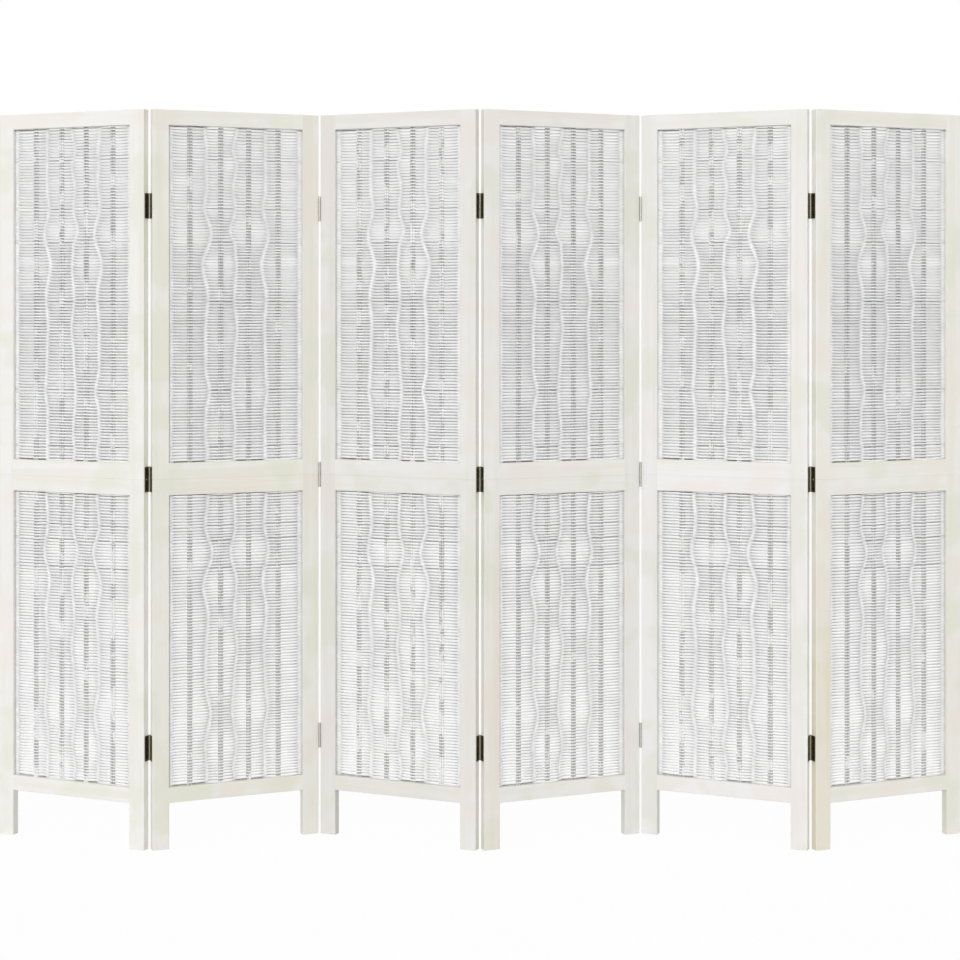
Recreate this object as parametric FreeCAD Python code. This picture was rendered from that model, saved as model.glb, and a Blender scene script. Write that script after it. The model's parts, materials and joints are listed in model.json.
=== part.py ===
"""Six-panel folding screen: painted wooden frames in two halves, woven wicker infills, butt hinges.

Units are millimetres. Each panel is drawn flat in its own frame, with x from its left edge to its right,
y from its front face to its back and z up from the floor. The panels are then set in a zigzag, joined
hinge axis to hinge axis, with the origin on the floor under the middle of the whole screen. All panels
are alike, and every second one is turned round, so that it shows the back of its infills.
"""

import FreeCAD
import Part
import math
import os

from FreeCAD import Vector

# Panels and their zigzag
PANEL_COUNT = 6
PANEL_WIDTH = 400.0
FRAME_THICKNESS = 20.0
LOWER_HALF_HEIGHT = 850.0
UPPER_HALF_HEIGHT = 850.0
REST_TURN = 23.1              # degrees that each panel is turned from the screen's long direction

# Frame members
STILE_WIDTH = 39.0
TOP_RAIL_HEIGHT = 35.0
MIDDLE_RAIL_HEIGHT = 37.0
BOTTOM_RAIL_HEIGHT = 35.0
LEG_HEIGHT = 106.0            # floor to the underside of the bottom rail
EDGE_ROUND = 1.5              # outer upright edges of the stiles
END_EASE = 0.6                # top, seam and foot edges
OPENING_EASE = 0.9            # edges round the infills and between the legs

# Mortise and tenon between rail and stile
TENON_THICKNESS = 8.0
TENON_SHOULDER = 7.0
GLUE_GAP = 0.15
MORTISE_END_GAP = 0.5
FLOOR_MARGIN = 4.0            # wood between a mortise's floor and the hinge screws' points

# Woven infill: a mat that swells round each stake and is thin where the strands cross between stakes.
# A stake is a pair of thin rods, side by side. Between a stake and the crossing beside it the strands
# part, so the mat is slit there. One slit stands for the narrow gaps among several strands.
STAKE_PLACES = (97.0, 169.0, 236.5, 310.0)    # from the left edge of a panel that shows its front
ROD_RADIUS = 2.9
ROD_SPACING = 6.5             # between the two rods of a stake
ROD_SOCKET_DEPTH = 10.0
ROD_CLEARANCE = 0.1
SOCKET_END_GAP = 0.5          # past the end of a rod or dowel
STRAND_THICKNESS = 3.4
STRAND_SLACK = 0.6            # between a strand and the rods that it passes
MAT_THIN = 5.4
SLIT_HEIGHT = 8.0
SLIT_SPACING = 55.0           # from slit to slit up the mat, evened out to fill the opening
CROSSING_WIDTH = 8.0          # unslit band where the strands cross
ROD_WALL = 3.0                # unslit mat beside a rod
MAT_TOP_GAP = 0.4
GROOVE_DEPTH = 6.0
GROOVE_CLEARANCE = 0.3

# Dowels that join the two halves of a panel, through the pair of middle rails
DOWEL_RADIUS = 4.0
DOWEL_COVER = 11.0            # wood of the rail past the end of a dowel
DOWEL_CLEARANCE = 0.1

# Hinges
HINGE_LENGTH = 58.0
HINGE_FLOOR_DISTANCE = 232.5  # middle of the lower hinges, from the floor
HINGE_TOP_DISTANCE = 221.5    # middle of the upper hinges, from the top
KNUCKLE_COUNT = 5
KNUCKLE_GAP = 0.3
BARREL_RADIUS = 2.5
BARREL_CLEARANCE = 0.3
PIN_RADIUS = 1.25
PIN_HELD_CLEARANCE = 0.02
PIN_RUNNING_CLEARANCE = 0.06
PIN_HEAD_HEIGHT = 0.8
LEAF_THICKNESS = 1.1
LEAF_SETBACK = 4.0            # bare stile edge between a leaf and the face away from its pin
LEAF_CORNER = 1.5
LEAF_AIR = 0.2                # from a leaf to the joint's mid plane when the panels are in line

# Hinge screws
SCREW_SHANK_RADIUS = 1.5
COUNTERSINK_FLOOR = 0.1       # leaf left under a countersunk head
SCREW_LENGTH = 16.0
SCREW_POINT = 3.0
SCREW_END_DISTANCE = 8.0      # outer screws, from the ends of a leaf
SCREW_CLEARANCE = 0.1
RECESS_WIDTH = 0.6
RECESS_LENGTH = 3.0
RECESS_DEPTH = 0.6

# Worked out from the values above
PANEL_HEIGHT = LOWER_HALF_HEIGHT + UPPER_HALF_HEIGHT
SEAM = LOWER_HALF_HEIGHT
MIDDLE = FRAME_THICKNESS / 2
INNER_LEFT = STILE_WIDTH
INNER_RIGHT = PANEL_WIDTH - STILE_WIDTH
HALF_GAP = LEAF_THICKNESS + LEAF_AIR
AXIS_STAND_OFF = BARREL_RADIUS                # hinge axis beyond the panels' face
SCREW_HEAD_HEIGHT = LEAF_THICKNESS - COUNTERSINK_FLOOR
SCREW_HEAD_RADIUS = SCREW_SHANK_RADIUS + SCREW_HEAD_HEIGHT
SCREW_BITE = SCREW_LENGTH - LEAF_THICKNESS
TENON_LENGTH = STILE_WIDTH - SCREW_BITE - MORTISE_END_GAP - FLOOR_MARGIN
DOWEL_LENGTH = 2 * (MIDDLE_RAIL_HEIGHT - DOWEL_COVER)
MAT_THICK = 2 * (ROD_RADIUS + STRAND_SLACK + STRAND_THICKNESS)
LEAF_WIDTH = FRAME_THICKNESS - LEAF_SETBACK
SCREW_INSET = (LEAF_WIDTH + EDGE_ROUND) / 2   # screw axis from the face that has the pin
LOWER_OPENING = (LEG_HEIGHT + BOTTOM_RAIL_HEIGHT, SEAM - MIDDLE_RAIL_HEIGHT)
UPPER_OPENING = (SEAM + MIDDLE_RAIL_HEIGHT, PANEL_HEIGHT - TOP_RAIL_HEIGHT)
HINGE_HEIGHTS = (HINGE_FLOOR_DISTANCE, SEAM, PANEL_HEIGHT - HINGE_TOP_DISTANCE)
OVERSHOOT = 5.0               # how far a cutter runs past the face that it cuts


def box_between(x0, x1, y0, y1, z0, z1):
    """A box given by two opposite corners, in any order."""
    low = Vector(min(x0, x1), min(y0, y1), min(z0, z1))
    return Part.makeBox(abs(x1 - x0), abs(y1 - y0), abs(z1 - z0), low)


def upright(radius, x, y, z0, z1):
    """An upright round rod or hole."""
    return Part.makeCylinder(radius, z1 - z0, Vector(x, y, z0))


def stake_places(turned_round):
    """Where a panel's stakes stand, from its left to its right."""
    if turned_round:
        return [PANEL_WIDTH - x for x in reversed(STAKE_PLACES)]
    return list(STAKE_PLACES)


def rod_places(stakes):
    """Where the rods of all the stakes stand."""
    return [x + side * ROD_SPACING / 2 for x in stakes for side in (-1, 1)]


def dowel_places(stakes):
    """Where the joining dowels stand: between the outer pairs of stakes."""
    return [(stakes[0] + stakes[1]) / 2, (stakes[-2] + stakes[-1]) / 2]


def rectangle(x0, x1, z0, z1, y):
    """A closed rectangular wire in an upright plane."""
    corners = [Vector(x0, y, z0), Vector(x1, y, z0), Vector(x1, y, z1), Vector(x0, y, z1)]
    return Part.makePolygon(corners + corners[:1])


def easing(z0, z1):
    """Cutters that ease the front and back edges of an opening in the frame."""
    cutters = []
    for face, inwards in ((0.0, 1.0), (FRAME_THICKNESS, -1.0)):
        wide = 2 * OPENING_EASE
        outside = rectangle(INNER_LEFT - wide, INNER_RIGHT + wide, z0 - wide, z1 + wide,
                            face - inwards * OPENING_EASE)
        inside = rectangle(INNER_LEFT, INNER_RIGHT, z0, z1, face + inwards * OPENING_EASE)
        cutters.append(Part.makeLoft([outside, inside], True, True))
    return cutters


EASED_EDGES = (easing(*LOWER_OPENING) + easing(*UPPER_OPENING)
               + easing(-LEG_HEIGHT, LEG_HEIGHT))


def half_envelope(z0, z1):
    """The outer shape of one half of a panel, with its edges rounded."""
    envelope = box_between(0, PANEL_WIDTH, 0, FRAME_THICKNESS, z0, z1)
    uprights = [e for e in envelope.Edges if e.BoundBox.ZLength > FRAME_THICKNESS]
    envelope = envelope.makeFillet(EDGE_ROUND, uprights)
    ends = [e for e in envelope.Edges if e.BoundBox.ZLength < END_EASE]
    return envelope.makeChamfer(END_EASE, ends)


LOWER_ENVELOPE = half_envelope(0, SEAM)
UPPER_ENVELOPE = half_envelope(SEAM, PANEL_HEIGHT)


def tenon(side, z0, z1, slack=0.0, end_slack=0.0):
    """A rail's tenon at the left (-1) or right (1) end, or with slack the mortise for it."""
    shoulder_line = INNER_LEFT if side < 0 else INNER_RIGHT
    tip = shoulder_line + side * (TENON_LENGTH + end_slack)
    half = TENON_THICKNESS / 2 + slack
    return box_between(shoulder_line, tip, MIDDLE - half, MIDDLE + half,
                       z0 + TENON_SHOULDER - slack, z1 - TENON_SHOULDER + slack)


def stile(side, envelope, rails, opening, pin_at_back):
    """One half of a stile: its mortises, the groove for the mat and the pilot holes for hinge screws."""
    outer, inner = (0.0, INNER_LEFT) if side < 0 else (PANEL_WIDTH, INNER_RIGHT)
    box = envelope.BoundBox
    solid = envelope.common(box_between(outer, inner, 0, FRAME_THICKNESS, box.ZMin, box.ZMax))
    cutters = [tenon(side, z0, z1, GLUE_GAP, MORTISE_END_GAP) for z0, z1 in rails]
    half = MAT_THIN / 2 + GROOVE_CLEARANCE
    cutters.append(box_between(inner, inner + side * GROOVE_DEPTH, MIDDLE - half, MIDDLE + half, *opening))
    if pin_at_back is not None:
        y = screw_line(pin_at_back)
        for z in screw_heights():
            if box.ZMin < z < box.ZMax:
                start = Vector(outer + side * OVERSHOOT, y, z)
                depth = SCREW_BITE + SCREW_CLEARANCE + OVERSHOOT
                cutters.append(Part.makeCylinder(SCREW_SHANK_RADIUS + SCREW_CLEARANCE, depth, start,
                                                 Vector(-side, 0, 0)))
    return solid.cut(cutters + EASED_EDGES)


def rail(z0, z1, envelope, stakes, sockets_up, sockets_down, dowels_up):
    """A rail with a tenon at each end, sockets for rods and, in a middle rail, for joining dowels."""
    solid = envelope.common(box_between(INNER_LEFT, INNER_RIGHT, 0, FRAME_THICKNESS, z0, z1))
    solid = solid.fuse([tenon(-1, z0, z1), tenon(1, z0, z1)])
    cutters = []
    for x in rod_places(stakes):
        radius = ROD_RADIUS + ROD_CLEARANCE
        depth = ROD_SOCKET_DEPTH + SOCKET_END_GAP
        if sockets_up:
            cutters.append(upright(radius, x, MIDDLE, z1 - depth, z1 + OVERSHOOT))
        if sockets_down:
            cutters.append(upright(radius, x, MIDDLE, z0 - OVERSHOOT, z0 + depth))
    for x in dowel_places(stakes):
        radius = DOWEL_RADIUS + DOWEL_CLEARANCE
        depth = DOWEL_LENGTH / 2 + SOCKET_END_GAP
        if dowels_up is True:
            cutters.append(upright(radius, x, MIDDLE, z1 - depth, z1 + OVERSHOOT))
        if dowels_up is False:
            cutters.append(upright(radius, x, MIDDLE, z0 - OVERSHOOT, z0 + depth))
    return solid.cut(cutters + EASED_EDGES).removeSplitter()


def swell_bounds(stakes):
    """Where a mat's swells begin and end: at the stiles and at the crossings between stakes."""
    crossings = [(a + b) / 2 for a, b in zip(stakes, stakes[1:])]
    return [INNER_LEFT] + crossings + [INNER_RIGHT]


def slits(opening, stakes):
    """Cutters for a mat's slits: in each row, one on either side of every stake."""
    bounds = swell_bounds(stakes)
    beside_stake = ROD_SPACING / 2 + ROD_RADIUS + ROD_WALL
    beside_crossing = CROSSING_WIDTH / 2
    rows = round((opening[1] - opening[0]) / SLIT_SPACING)
    step = (opening[1] - opening[0]) / rows
    cutters = []
    for row in range(rows):
        z = opening[0] + (row + 0.5) * step
        for start, stake, end in zip(bounds, stakes, bounds[1:]):
            for x0, x1 in ((start + beside_crossing, stake - beside_stake),
                           (stake + beside_stake, end - beside_crossing)):
                cutters.append(box_between(x0, x1, 0, FRAME_THICKNESS,
                                           z - SLIT_HEIGHT / 2, z + SLIT_HEIGHT / 2))
    return cutters


def mat(opening, stakes):
    """The woven infill of one opening: a swell round every stake, bores where its rods stand, and slits."""
    bounds = swell_bounds(stakes)
    left = INNER_LEFT - GROOVE_DEPTH + GROOVE_CLEARANCE
    right = INNER_RIGHT + GROOVE_DEPTH - GROOVE_CLEARANCE
    bottom = opening[0]

    def point(x, y):
        return Vector(x, MIDDLE + y, bottom)

    edges = []
    for face in (-1, 1):
        thin = face * MAT_THIN / 2
        thick = face * MAT_THICK / 2
        edges.append(Part.LineSegment(point(left, thin), point(INNER_LEFT, thin)).toShape())
        for start, stake, end in zip(bounds, stakes, bounds[1:]):
            swell = Part.Arc(point(start, thin), point(stake, thick), point(end, thin))
            edges.append(swell.toShape())
        edges.append(Part.LineSegment(point(INNER_RIGHT, thin), point(right, thin)).toShape())
    for x in (left, right):
        ends = point(x, -MAT_THIN / 2), point(x, MAT_THIN / 2)
        edges.append(Part.LineSegment(*ends).toShape())
    outline = Part.Wire(Part.__sortEdges__(edges))
    height = opening[1] - opening[0] - MAT_TOP_GAP
    solid = Part.Face(outline).extrude(Vector(0, 0, height))
    bores = [upright(ROD_RADIUS + ROD_CLEARANCE, x, MIDDLE, bottom - OVERSHOOT, opening[1] + OVERSHOOT)
             for x in rod_places(stakes)]
    return solid.cut(bores + slits(opening, stakes))


def wooden_rods(stakes):
    """The stakes' rods of both mats and the dowels that join the panel's halves."""
    rods = []
    for low, high in (LOWER_OPENING, UPPER_OPENING):
        for x in rod_places(stakes):
            rods.append(upright(ROD_RADIUS, x, MIDDLE, low - ROD_SOCKET_DEPTH, high + ROD_SOCKET_DEPTH))
    for x in dowel_places(stakes):
        rods.append(upright(DOWEL_RADIUS, x, MIDDLE, SEAM - DOWEL_LENGTH / 2, SEAM + DOWEL_LENGTH / 2))
    return rods


def axis_line(pin_at_back):
    """The hinge axis, across the panel's thickness."""
    return FRAME_THICKNESS + AXIS_STAND_OFF if pin_at_back else -AXIS_STAND_OFF


def screw_line(pin_at_back):
    """The hinge screws' axes, across the panel's thickness."""
    return FRAME_THICKNESS - SCREW_INSET if pin_at_back else SCREW_INSET


def screw_heights():
    """The hinge screws of one stile. The middle hinge has none at the seam between the halves."""
    reach = HINGE_LENGTH / 2 - SCREW_END_DISTANCE
    heights = []
    for z in HINGE_HEIGHTS:
        heights += [z - reach, z + reach] if z == SEAM else [z - reach, z, z + reach]
    return heights


def knuckle_spans(z, own):
    """The knuckles of one leaf: 0 takes the odd ones, from the bottom, and 1 the even ones."""
    length = HINGE_LENGTH / KNUCKLE_COUNT
    bottom = z - HINGE_LENGTH / 2
    spans = []
    for i in range(own, KNUCKLE_COUNT, 2):
        low = bottom + length * i + (KNUCKLE_GAP / 2 if i else 0)
        high = bottom + length * (i + 1) - (KNUCKLE_GAP / 2 if i < KNUCKLE_COUNT - 1 else 0)
        spans.append((low, high))
    return spans


def hinge_leaf(side, pin_at_back, z):
    """The leaf on a panel's left (-1) or right (1) edge, with its knuckles and countersunk holes."""
    edge = 0.0 if side < 0 else PANEL_WIDTH
    axis_x = edge + side * HALF_GAP
    axis_y = axis_line(pin_at_back)
    face = FRAME_THICKNESS if pin_at_back else 0.0
    inwards = -1 if pin_at_back else 1
    low, high = z - HINGE_LENGTH / 2, z + HINGE_LENGTH / 2
    surface = edge + side * LEAF_THICKNESS
    clear = math.sqrt((BARREL_RADIUS + BARREL_CLEARANCE) ** 2 - LEAF_AIR ** 2)
    near = axis_y + inwards * clear
    far = face + inwards * LEAF_WIDTH
    plate = box_between(edge, surface, near, far, low, high)
    corners = [e for e in plate.Edges
               if e.BoundBox.XLength > LEAF_THICKNESS / 2 and abs(e.CenterOfMass.y - far) < LEAF_CORNER]
    plate = plate.makeFillet(LEAF_CORNER, corners)
    held = side > 0
    bore = PIN_RADIUS + (PIN_HELD_CLEARANCE if held else PIN_RUNNING_CLEARANCE)
    wraps = []
    for z0, z1 in knuckle_spans(z, 0 if held else 1):
        wraps.append(upright(BARREL_RADIUS, axis_x, axis_y, z0, z1))
        wraps.append(box_between(edge, surface, near, axis_y, z0, z1))
    leaf = plate.fuse(wraps).removeSplitter()
    cutters = [upright(bore, axis_x, axis_y, low - OVERSHOOT, high + OVERSHOOT)]
    reach = HINGE_LENGTH / 2 - SCREW_END_DISTANCE
    for hole_z in (z - reach, z, z + reach):
        mouth = Vector(surface, screw_line(pin_at_back), hole_z)
        into = Vector(-side, 0, 0)
        hole = SCREW_SHANK_RADIUS + SCREW_CLEARANCE
        countersink = SCREW_HEAD_RADIUS + SCREW_CLEARANCE
        cutters.append(Part.makeCone(countersink, hole, SCREW_HEAD_HEIGHT, mouth, into))
        cutters.append(Part.makeCylinder(hole, LEAF_THICKNESS, mouth, into))
    return leaf.cut(cutters)


def hinge_pin(pin_at_back, z):
    """The pin of a hinge on a panel's right edge, with a low domed head at each end."""
    x = PANEL_WIDTH + HALF_GAP
    y = axis_line(pin_at_back)
    half = HINGE_LENGTH / 2
    top = half + PIN_HEAD_HEIGHT
    ball_radius = (BARREL_RADIUS ** 2 + PIN_HEAD_HEIGHT ** 2) / (2 * PIN_HEAD_HEIGHT)
    heads = []
    for low, high, up in ((half, top, 1), (-top, -half, -1)):
        ball = Part.makeSphere(ball_radius, Vector(x, y, z + up * (top - ball_radius)))
        heads.append(ball.common(upright(BARREL_RADIUS, x, y, z + low, z + high)))
    return upright(PIN_RADIUS, x, y, z - half, z + half).fuse(heads).removeSplitter()


def hinge_screw(side, pin_at_back, z):
    """A countersunk wood screw with a cross recess, driven through a leaf into the stile's edge."""
    outline = [Vector(0, 0, 0), Vector(0, SCREW_HEAD_RADIUS, 0),
               Vector(SCREW_HEAD_HEIGHT, SCREW_SHANK_RADIUS, 0),
               Vector(SCREW_LENGTH - SCREW_POINT, SCREW_SHANK_RADIUS, 0), Vector(SCREW_LENGTH, 0, 0)]
    section = Part.Face(Part.makePolygon(outline + outline[:1]))
    screw = section.revolve(Vector(0, 0, 0), Vector(1, 0, 0), 360)
    long, wide = RECESS_LENGTH / 2, RECESS_WIDTH / 2
    cross = box_between(-RECESS_DEPTH, RECESS_DEPTH, -long, long, -wide, wide)
    cross = cross.fuse(box_between(-RECESS_DEPTH, RECESS_DEPTH, -wide, wide, -long, long))
    screw = screw.cut(cross)
    if side > 0:
        screw.rotate(Vector(0, 0, 0), Vector(0, 0, 1), 180)
    surface = -LEAF_THICKNESS if side < 0 else PANEL_WIDTH + LEAF_THICKNESS
    screw.translate(Vector(surface, screw_line(pin_at_back), z))
    return screw


def is_ridge(joint):
    """Joints are counted from the left. The odd ones are the near ridges, with their pins at the back."""
    return joint % 2 == 1


def panel_pieces(number):
    """Every piece of one panel, drawn flat, as lists of solids under their names."""
    left = is_ridge(number - 1) if number > 1 else None
    right = is_ridge(number) if number < PANEL_COUNT else None
    stakes = stake_places(turned_round=number % 2 == 0)
    bottom = (LEG_HEIGHT, LEG_HEIGHT + BOTTOM_RAIL_HEIGHT)
    lower_middle = (SEAM - MIDDLE_RAIL_HEIGHT, SEAM)
    upper_middle = (SEAM, SEAM + MIDDLE_RAIL_HEIGHT)
    top = (PANEL_HEIGHT - TOP_RAIL_HEIGHT, PANEL_HEIGHT)
    lower = (LOWER_ENVELOPE, [bottom, lower_middle], LOWER_OPENING)
    upper = (UPPER_ENVELOPE, [upper_middle, top], UPPER_OPENING)
    hinges = []
    screws = []
    for side, at_back in ((-1, left), (1, right)):
        if at_back is None:
            continue
        hinges += [hinge_leaf(side, at_back, z) for z in HINGE_HEIGHTS]
        screws += [hinge_screw(side, at_back, z) for z in screw_heights()]
        if side > 0:
            hinges += [hinge_pin(at_back, z) for z in HINGE_HEIGHTS]
    return {
        "left_stiles": [stile(-1, *half, left) for half in (lower, upper)],
        "right_stiles": [stile(1, *half, right) for half in (lower, upper)],
        "top_rail": [rail(*top, UPPER_ENVELOPE, stakes, False, True, None)],
        "middle_rails": [rail(*lower_middle, LOWER_ENVELOPE, stakes, False, True, True),
                         rail(*upper_middle, UPPER_ENVELOPE, stakes, True, False, False)],
        "bottom_rail": [rail(*bottom, LOWER_ENVELOPE, stakes, True, False, None)],
        "upper_weave": [mat(UPPER_OPENING, stakes)],
        "lower_weave": [mat(LOWER_OPENING, stakes)],
        "dowels": wooden_rods(stakes),
        "hinges": hinges,
        "hinge_screws": screws,
    }


def turned(x, y, degrees):
    """A point of a panel's own frame after the panel is turned about the upright axis."""
    c, s = math.cos(math.radians(degrees)), math.sin(math.radians(degrees))
    return Vector(c * x - s * y, s * x + c * y, 0)


def panel_turn(number):
    """How far a panel is turned: odd panels come forward to the right, even ones go back."""
    return -REST_TURN if number % 2 else REST_TURN


def zigzag():
    """The place of each panel's own origin and of each hinge axis, centred over the origin."""
    places = [Vector(0, 0, 0)]
    axes = []
    for joint in range(1, PANEL_COUNT):
        y = axis_line(is_ridge(joint))
        axis = places[-1] + turned(PANEL_WIDTH + HALF_GAP, y, panel_turn(joint))
        axes.append(axis)
        places.append(axis - turned(-HALF_GAP, y, panel_turn(joint + 1)))
    corners = []
    for number, place in enumerate(places, 1):
        for x in (0, PANEL_WIDTH):
            for y in (0, FRAME_THICKNESS):
                corners.append(place + turned(x, y, panel_turn(number)))
    middle_x = (min(c.x for c in corners) + max(c.x for c in corners)) / 2
    middle_y = (min(c.y for c in corners) + max(c.y for c in corners)) / 2
    shift = Vector(middle_x, middle_y, 0)
    return [p - shift for p in places], [a - shift for a in axes]


def main():
    os.makedirs("parts", exist_ok=True)
    places, axes = zigzag()
    for number, place in enumerate(places, 1):
        turn = FreeCAD.Rotation(Vector(0, 0, 1), panel_turn(number))
        for name, solids in panel_pieces(number).items():
            node = Part.makeCompound(solids) if len(solids) > 1 else solids[0]
            node.Placement = FreeCAD.Placement(place, turn)
            node.exportStep(f"parts/panel_{number}_{name}.step")
    for joint, axis in enumerate(axes, 1):
        print(f"hinge axis {joint}: x {axis.x:.3f} y {axis.y:.3f}")


main()
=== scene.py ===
"""Looks of the six-panel folding screen: woven wicker, painted wood, bare stakes and bronze hinges.

Lengths are metres, and values named in millimetres are turned into metres where they are used.
The odd panels show their fronts. The even panels are the same panel turned round, so they show its back.
"""

import json
import math
from random import Random

import bpy
from mathutils import Matrix, Vector


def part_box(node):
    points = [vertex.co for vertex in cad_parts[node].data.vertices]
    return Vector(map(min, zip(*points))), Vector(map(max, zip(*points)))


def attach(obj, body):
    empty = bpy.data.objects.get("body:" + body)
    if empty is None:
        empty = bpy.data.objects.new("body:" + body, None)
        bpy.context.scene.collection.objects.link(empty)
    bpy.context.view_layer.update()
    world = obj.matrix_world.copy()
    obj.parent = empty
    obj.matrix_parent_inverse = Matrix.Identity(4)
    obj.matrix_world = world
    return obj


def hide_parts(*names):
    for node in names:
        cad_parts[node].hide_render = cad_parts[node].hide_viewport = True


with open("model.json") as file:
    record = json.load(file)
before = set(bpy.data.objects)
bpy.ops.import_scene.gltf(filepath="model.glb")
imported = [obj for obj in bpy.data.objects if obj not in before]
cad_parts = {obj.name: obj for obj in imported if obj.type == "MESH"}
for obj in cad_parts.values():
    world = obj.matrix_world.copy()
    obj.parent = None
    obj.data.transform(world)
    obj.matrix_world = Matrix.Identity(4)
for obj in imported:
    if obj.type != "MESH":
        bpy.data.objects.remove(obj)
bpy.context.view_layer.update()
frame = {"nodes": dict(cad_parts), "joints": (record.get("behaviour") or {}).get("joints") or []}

MM = 0.001
PANELS = range(1, 7)
REST_TURN = -math.radians(frame["joints"][0]["range_deg"][0]) / 2

# Camera: level, straight in front of the screen, with its view shifted down
CAMERA_DISTANCE = 4.711
CAMERA_HEIGHT = 1.2373
FOCAL_LENGTH = 75.67          # millimetres, on a sensor 36 mm wide
SENSOR_WIDTH = 36.0
VIEW_SHIFT = -0.1762          # of the picture's width
VIEW_DEPTH = 200.0

# Light: a key light from in front and above, and a white room round the screen
KEY_LIGHT = 1.45
KEY_LIGHT_SIZE = math.radians(20)
KEY_LIGHT_AIM = Vector((0.10, 0.91, -0.37))    # the way it shines
ROOM_LIGHT_LEFT = 0.69
ROOM_LIGHT_RIGHT = 0.43
WHITE = (1, 1, 1, 1)
FLOOR_REACH = 30.0            # from the middle to each side
FLOOR_COLOUR = (0.72, 0.72, 0.72, 1)
FLOOR_GLOW = 0.97             # share of plain white in what the eye sees of the floor

# Woven mats
PANEL_WIDTH_MM = 400.0
OPENING_WIDTH = 322 * MM
EDGE_BAND = 6 * MM            # beside a stile, where strands lie side by side as at a crossing
GROOVE_LENGTH = 5.5 * MM      # of a strand's end, in the groove of a stile
COLUMNS = 4                   # one round each stake
END_SHARE = 0.2               # of a column's points, for a strand's end past the outer column
CROWDING = 0.7                # how much closer a strand's points stand where it changes faces
COLUMN_WIDTHS = (84 * MM, 74 * MM, 66 * MM, 86 * MM)
SWING = 5.7 * MM              # a strand's middle from the mat's mid plane, at a stake
BOW = 1.6                     # how much further it swings where its column is wider than usual
THINNING = 0.85               # and how much thinner it is there
BOW_LEAST = 0.55              # of the swing, as it changes with the column's width and from place to place
BOW_MOST = 1.5
BOW_LOOSENESS = 1.0           # how much the swing changes from place to place
FLANK_SHARE = 0.6             # of the swing, which a strand takes as soon as it has changed faces
CROSSING_BAND = 0.09          # where strands still lie side by side, on a scale where a stake is at 1
CROSSING_REACH = 0.25         # where they have parted, on the same scale
STRAND_HEIGHT = 3.9 * MM
STRAND_DEPTH = 3.0 * MM
CROSSING_GIRTH = 1.0          # of the full size, where strands lie side by side
STAKE_GIRTH = 0.96            # of the girth elsewhere, where they are pulled tight round a stake
TIGHT_FROM = 0.93             # where this starts, on the scale where a stake is at 1
TIGHT_AT = 0.99               # and where it is full
EDGE_GIRTH = 0.95             # of the girth elsewhere, where they go into a stile
EDGE_PLACE = 0.54             # of a strand's end, just inside the stile, where it has come to this girth
LOOSENESS = 0.48              # how much a strand swells and thins from place to place
LOOSENESS_LENGTH = 26 * MM    # of such a place, along the strands and up the mat
LOOSENESS_HEIGHT = 48 * MM
LOOSENESS_DETAIL = 1.5
STAKE_LOOSENESS = 0.3         # how much of this is left where strands are pulled tight round a stake
# Painted shade on the strands beside a crossing and beside a stile, and at a crossing, where they lie back
# in the mat: how much darker it makes them
SIDE_PAINTED_SHADE = {"upper": 0.08, "lower": 0.15}
CROSSING_PAINTED_SHADE = {"upper": 0.0, "lower": 0.02}
PAINTED_SHADE_REACH = 0.6              # how far from a crossing, on the scale where a stake is at 1
EDGE_PAINTED_SHADE_REACH = 0.2         # of a strand's end, over which its painted shade beside a stile comes in full
POINTS_ALONG = 45
STRAND_SIDES = 8
RIPPLE = 1.6 * MM             # how far a strand may stray up and down
RIPPLE_SIZE = 60 * MM
RIPPLE_DETAIL = 1.0
STRAND_COUNT = {"upper": 223, "lower": 193}
ROW_UNEVENNESS = 0.11         # of a row's height
GIRTH_UNEVENNESS = 0.08       # of a strand's girth
WEAVE_SEED = {"upper": 11, "lower": 23}
# Girth of the strands at heights in millimetres above the floor: they are fullest near eye level
GIRTHS = {"upper": ((887, 0.9), (1100, 0.92), (1220, 0.99), (1345, 0.84), (1450, 0.82), (1665, 0.75)),
          "lower": ((141, 0.82), (300, 0.83), (500, 0.89), (813, 0.96))}
FACE_GIRTHS = {1: 0.985, -1: 1.04}    # every second strand is a little thicker
# Share of the girth that each strand keeps between the outer stakes and the stiles
OUTER_GIRTHS = {"upper": {1: 1.0, -1: 0.78}, "lower": {1: 0.8, -1: 0.93}}

# The three lines where strands change faces, as the front shows them: heights above the floor and places
# from the panel's left edge, in millimetres
CROSSINGS = {
    "upper": (
        ((890, 129), (1000, 130), (1050, 124), (1110, 128), (1200, 131), (1270, 126), (1345, 138),
         (1415, 121), (1480, 134), (1520, 128), (1665, 129)),
        ((890, 203), (910, 205), (950, 201), (1050, 208), (1130, 203), (1195, 197), (1265, 204),
         (1340, 198), (1385, 201), (1425, 214), (1475, 201), (1520, 207), (1580, 198), (1610, 207),
         (1665, 197)),
        ((890, 269), (910, 267), (945, 272), (1000, 271), (1050, 262), (1105, 272), (1200, 272),
         (1268, 266), (1345, 279), (1415, 258), (1480, 274), (1530, 268), (1580, 271), (1610, 269),
         (1650, 273)),
    ),
    "lower": (
        ((150, 129), (240, 132), (310, 123), (370, 129), (440, 132), (535, 126), (605, 135),
         (675, 121), (740, 131), (810, 127)),
        ((150, 204), (172, 206), (225, 199), (310, 209), (395, 203), (455, 197), (515, 205),
         (605, 198), (675, 213), (735, 201), (810, 204)),
        ((150, 269), (170, 269), (230, 272), (300, 260), (370, 272), (455, 271), (525, 265),
         (600, 277), (675, 256), (740, 272), (810, 266)),
    ),
}
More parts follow.
